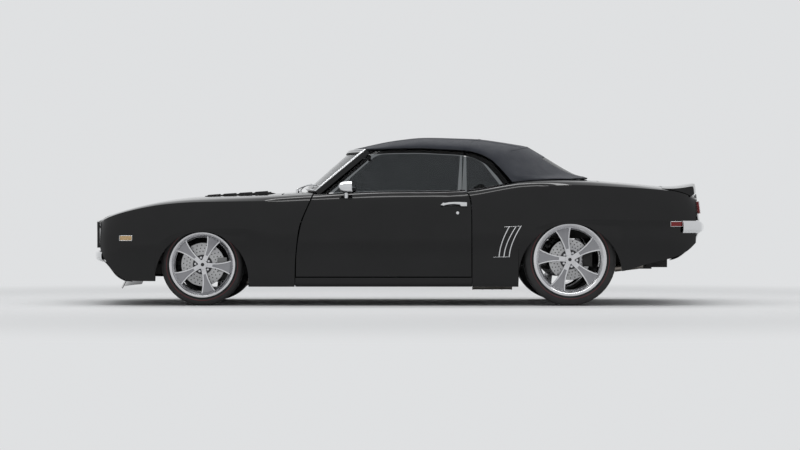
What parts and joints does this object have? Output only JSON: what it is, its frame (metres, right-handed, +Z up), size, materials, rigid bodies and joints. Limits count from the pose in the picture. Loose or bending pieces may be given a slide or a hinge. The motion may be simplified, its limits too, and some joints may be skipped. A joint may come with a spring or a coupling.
{
  "type": "classic convertible car",
  "caption": "Classic two-door convertible with a raised fabric top, opening doors, hood and trunk lid, steered front wheels and five-spoke rims on wide tyres.",
  "frame": {"origin": "on the ground below the middle of the bounding box", "axes": "+X to the rear, +Y to the car's right, +Z up"},
  "size_m": [4.724, 1.8804, 1.282],
  "materials": {
    "body_paint": "gloss black",
    "chrome": "polished",
    "black_plastic": "satin",
    "black_steel": "matt black",
    "clear_lens": "clear",
    "red_lens": "gloss",
    "glass": "clear",
    "canvas": "woven",
    "seat_vinyl": "satin",
    "cast_metal": "cast",
    "exhaust_steel": "brushed",
    "tyre_rubber": "matt",
    "wheel_alloy": "satin"
  },
  "bodies": {
    "body": {"fenders": "body_paint", "quarters": "body_paint", "sills": "body_paint", "cowl": "body_paint", "nose_panel": "body_paint", "grille": "black_plastic", "front_lamps": "clear_lens", "bumpers": "chrome", "valances": "body_paint", "tail_panel": "body_paint", "rear_lamps": "red_lens", "spoiler_ends": "body_paint", "deck_filler": "body_paint", "floor_pan": "black_steel", "inner_fenders": "black_steel", "windscreen_frame": "chrome", "fixed_glass": "glass", "soft_top": "canvas", "dashboard": "black_plastic", "seats": "seat_vinyl", "engine": "cast_metal", "front_subframe": "black_steel", "rear_axle": "black_steel", "exhaust": "exhaust_steel", "fuel_tank": "black_steel", "gill_vents": "chrome"},
    "hood": {"hood": "body_paint", "hood_vents": "body_paint"},
    "trunk_lid": {"trunk_lid": "body_paint", "spoiler": "body_paint"},
    "door_left": {"door_left": "body_paint", "door_glass_left": "glass", "door_fittings_left": "chrome"},
    "door_right": {"door_right": "body_paint", "door_glass_right": "glass", "door_fittings_right": "chrome"},
    "knuckle_left": {"knuckle_left": "cast_metal"},
    "knuckle_right": {"knuckle_right": "cast_metal"},
    "wheel_front_left": {"wheel_front_left": "wheel_alloy", "tyre_front_left": "tyre_rubber"},
    "wheel_front_right": {"wheel_front_right": "wheel_alloy", "tyre_front_right": "tyre_rubber"},
    "wheel_rear_left": {"wheel_rear_left": "wheel_alloy", "tyre_rear_left": "tyre_rubber"},
    "wheel_rear_right": {"wheel_rear_right": "wheel_alloy", "tyre_rear_right": "tyre_rubber"},
    "steering_wheel": {"steering_wheel": "black_plastic"}
  },
  "joints": [
    {"name": "hood_hinge", "type": "hinge", "parent": "body", "child": "hood", "pos_m": [-0.992, 0, 0.79601], "axis": [0, 1, 0], "range_deg": [0, 52]},
    {"name": "trunk_hinge", "type": "hinge", "parent": "body", "child": "trunk_lid", "pos_m": [1.58, 0, 0.89519], "axis": [0, -1, 0], "range_deg": [0, 72]},
    {"name": "door_left_hinge", "type": "hinge", "parent": "body", "child": "door_left", "pos_m": [-0.665, -0.873, 0.475], "axis": [0, 0, -1], "range_deg": [0, 65]},
    {"name": "door_right_hinge", "type": "hinge", "parent": "body", "child": "door_right", "pos_m": [-0.665, 0.873, 0.475], "axis": [0, 0, 1], "range_deg": [0, 65]},
    {"name": "steer_left", "type": "hinge", "parent": "body", "child": "knuckle_left", "pos_m": [-1.476, -0.702, 0.306], "axis": [0, 0, 1], "range_deg": [-30, 30]},
    {"name": "steer_right", "type": "hinge", "parent": "body", "child": "knuckle_right", "pos_m": [-1.476, 0.702, 0.306], "axis": [0, 0, 1], "range_deg": [-30, 30]},
    {"name": "steering_wheel_turn", "type": "hinge", "parent": "body", "child": "steering_wheel", "pos_m": [-0.356, -0.375, 0.745], "axis": [0.9135, 0, 0.4067], "range_deg": [-420, 420]},
    {"name": "roll_front_left", "type": "hinge", "parent": "knuckle_left", "child": "wheel_front_left", "pos_m": [-1.476, -0.732, 0.306], "axis": [0, 1, 0], "continuous": true},
    {"name": "roll_front_right", "type": "hinge", "parent": "knuckle_right", "child": "wheel_front_right", "pos_m": [-1.476, 0.732, 0.306], "axis": [0, 1, 0], "continuous": true},
    {"name": "roll_rear_left", "type": "hinge", "parent": "body", "child": "wheel_rear_left", "pos_m": [1.267, -0.755, 0.344], "axis": [0, 1, 0], "continuous": true},
    {"name": "roll_rear_right", "type": "hinge", "parent": "body", "child": "wheel_rear_right", "pos_m": [1.267, 0.755, 0.344], "axis": [0, 1, 0], "continuous": true}
  ],
  "couplings": [
    {"joint": "steer_right", "follows": "steer_left", "ratio": 1},
    {"joint": "steering_wheel_turn", "follows": "steer_left", "ratio": 14}
  ]
}
